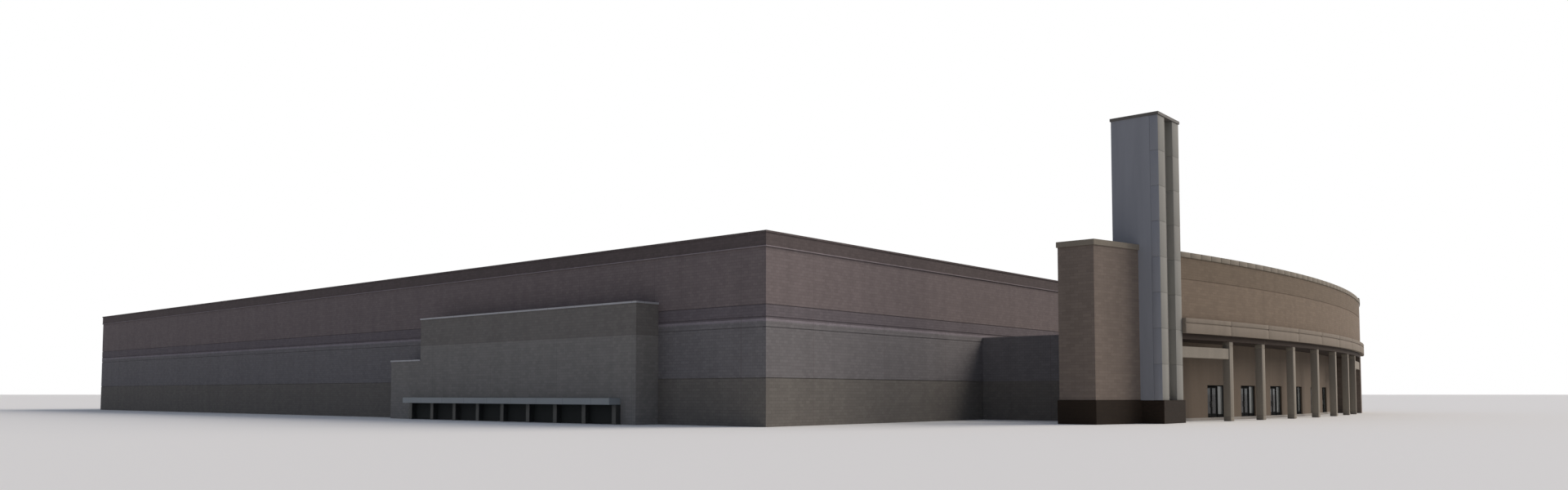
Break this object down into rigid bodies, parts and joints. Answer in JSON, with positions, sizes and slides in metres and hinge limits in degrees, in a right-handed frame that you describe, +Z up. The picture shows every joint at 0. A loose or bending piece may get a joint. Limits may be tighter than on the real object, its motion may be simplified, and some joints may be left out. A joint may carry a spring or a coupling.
{
  "type": "shopping mall building, 1:10 scale model",
  "caption": "Flat-roofed store with a bowed screen wall over a colonnade, a finned tower, a side loading dock and hinged glass entrance doors.",
  "frame": {"origin": "middle of the store's plan on the underside of its floor, at ground level", "axes": "+X to the right along the entrance front, +Y from the front to the back, +Z up"},
  "size_m": [10.85, 13.489, 2.155],
  "materials": {
    "store_block": "split-faced block, matt",
    "parapet_block": "smooth block, matt",
    "screen_block": "warm tan block, matt",
    "pale_precast": "precast, matt",
    "coping_metal": "satin",
    "tower_render": "smooth render, matt",
    "recess_metal": "satin",
    "course_brick": "dark brick, matt",
    "roof_membrane": "matt",
    "floor_concrete": "trowelled, matt",
    "entrance_render": "render, matt",
    "door_aluminium": "dark anodised",
    "side_light_glass": "pale tinted, glossy",
    "dock_block": "painted block, matt"
  },
  "bodies": {
    "root": {"store_floor": "floor_concrete", "store_roof": "roof_membrane", "store_wall_left": "store_block", "store_wall_right": "store_block", "store_wall_rear": "store_block", "store_wall_front_left": "store_block", "store_wall_front_right": "store_block", "store_wall_over_passage": "store_block", "parapet_front": "parapet_block", "parapet_right": "parapet_block", "parapet_rear": "parapet_block", "parapet_left": "parapet_block", "lobby_floor": "floor_concrete", "lobby_roof": "roof_membrane", "lobby_walls": "store_block", "entrance_panels": "entrance_render", "entrance_lintels": "entrance_render", "entrance_frames": "door_aluminium", "side_lights": "side_light_glass", "screen_wall_1": "screen_block", "screen_wall_2": "screen_block", "screen_wall_3": "screen_block", "screen_wall_4": "screen_block", "screen_fascia": "pale_precast", "screen_coping": "coping_metal", "end_block_left": "screen_block", "end_block_right": "screen_block", "end_block_roofs": "roof_membrane", "end_block_copings": "coping_metal", "colonnade_piers": "pale_precast", "portal_beams": "pale_precast", "tower_shaft": "tower_render", "tower_fins": "pale_precast", "tower_recess_panel": "recess_metal", "tower_plinth": "course_brick", "tower_cap": "coping_metal", "dock_walls": "dock_block", "dock_annex_walls": "dock_block", "dock_roofs": "roof_membrane", "dock_copings": "coping_metal", "dock_platform": "pale_precast"},
    "door_1_left": {"door_1_left": "door_aluminium"},
    "door_1_right": {"door_1_right": "door_aluminium"},
    "door_2_left": {"door_2_left": "door_aluminium"},
    "door_2_right": {"door_2_right": "door_aluminium"},
    "door_3_left": {"door_3_left": "door_aluminium"},
    "door_3_right": {"door_3_right": "door_aluminium"},
    "door_4_left": {"door_4_left": "door_aluminium"},
    "door_4_right": {"door_4_right": "door_aluminium"},
    "door_5_left": {"door_5_left": "door_aluminium"},
    "door_5_right": {"door_5_right": "door_aluminium"},
    "door_6_left": {"door_6_left": "door_aluminium"},
    "door_6_right": {"door_6_right": "door_aluminium"}
  },
  "joints": [
    {"name": "door_1_left_swing", "type": "hinge", "parent": "root", "child": "door_1_left", "pos_m": [-1.70473, -7.24913, 0.02], "axis": [0, 0, -1], "range_deg": [0, 90]},
    {"name": "door_1_right_swing", "type": "hinge", "parent": "root", "child": "door_1_right", "pos_m": [-1.54875, -7.26704, 0.02], "axis": [0, 0, 1], "range_deg": [0, 90]},
    {"name": "door_2_left_swing", "type": "hinge", "parent": "root", "child": "door_2_left", "pos_m": [-1.10507, -7.31038, 0.02], "axis": [0, 0, -1], "range_deg": [0, 90]},
    {"name": "door_2_right_swing", "type": "hinge", "parent": "root", "child": "door_2_right", "pos_m": [-0.94846, -7.32147, 0.02], "axis": [0, 0, 1], "range_deg": [0, 90]},
    {"name": "door_3_left_swing", "type": "hinge", "parent": "root", "child": "door_3_left", "pos_m": [-0.45434, -7.34713, 0.02], "axis": [0, 0, -1], "range_deg": [0, 90]},
    {"name": "door_3_right_swing", "type": "hinge", "parent": "root", "child": "door_3_right", "pos_m": [-0.29738, -7.35083, 0.02], "axis": [0, 0, 1], "range_deg": [0, 90]},
    {"name": "door_4_left_swing", "type": "hinge", "parent": "root", "child": "door_4_left", "pos_m": [0.19741, -7.35319, 0.02], "axis": [0, 0, -1], "range_deg": [0, 90]},
    {"name": "door_4_right_swing", "type": "hinge", "parent": "root", "child": "door_4_right", "pos_m": [0.35436, -7.34949, 0.02], "axis": [0, 0, 1], "range_deg": [0, 90]},
    {"name": "door_5_left_swing", "type": "hinge", "parent": "root", "child": "door_5_left", "pos_m": [0.84871, -7.32853, 0.02], "axis": [0, 0, -1], "range_deg": [0, 90]},
    {"name": "door_5_right_swing", "type": "hinge", "parent": "root", "child": "door_5_right", "pos_m": [1.00532, -7.31744, 0.02], "axis": [0, 0, 1], "range_deg": [0, 90]},
    {"name": "door_6_left_swing", "type": "hinge", "parent": "root", "child": "door_6_left", "pos_m": [1.4494, -7.27844, 0.02], "axis": [0, 0, -1], "range_deg": [0, 90]},
    {"name": "door_6_right_swing", "type": "hinge", "parent": "root", "child": "door_6_right", "pos_m": [1.60538, -7.26054, 0.02], "axis": [0, 0, 1], "range_deg": [0, 90]}
  ]
}
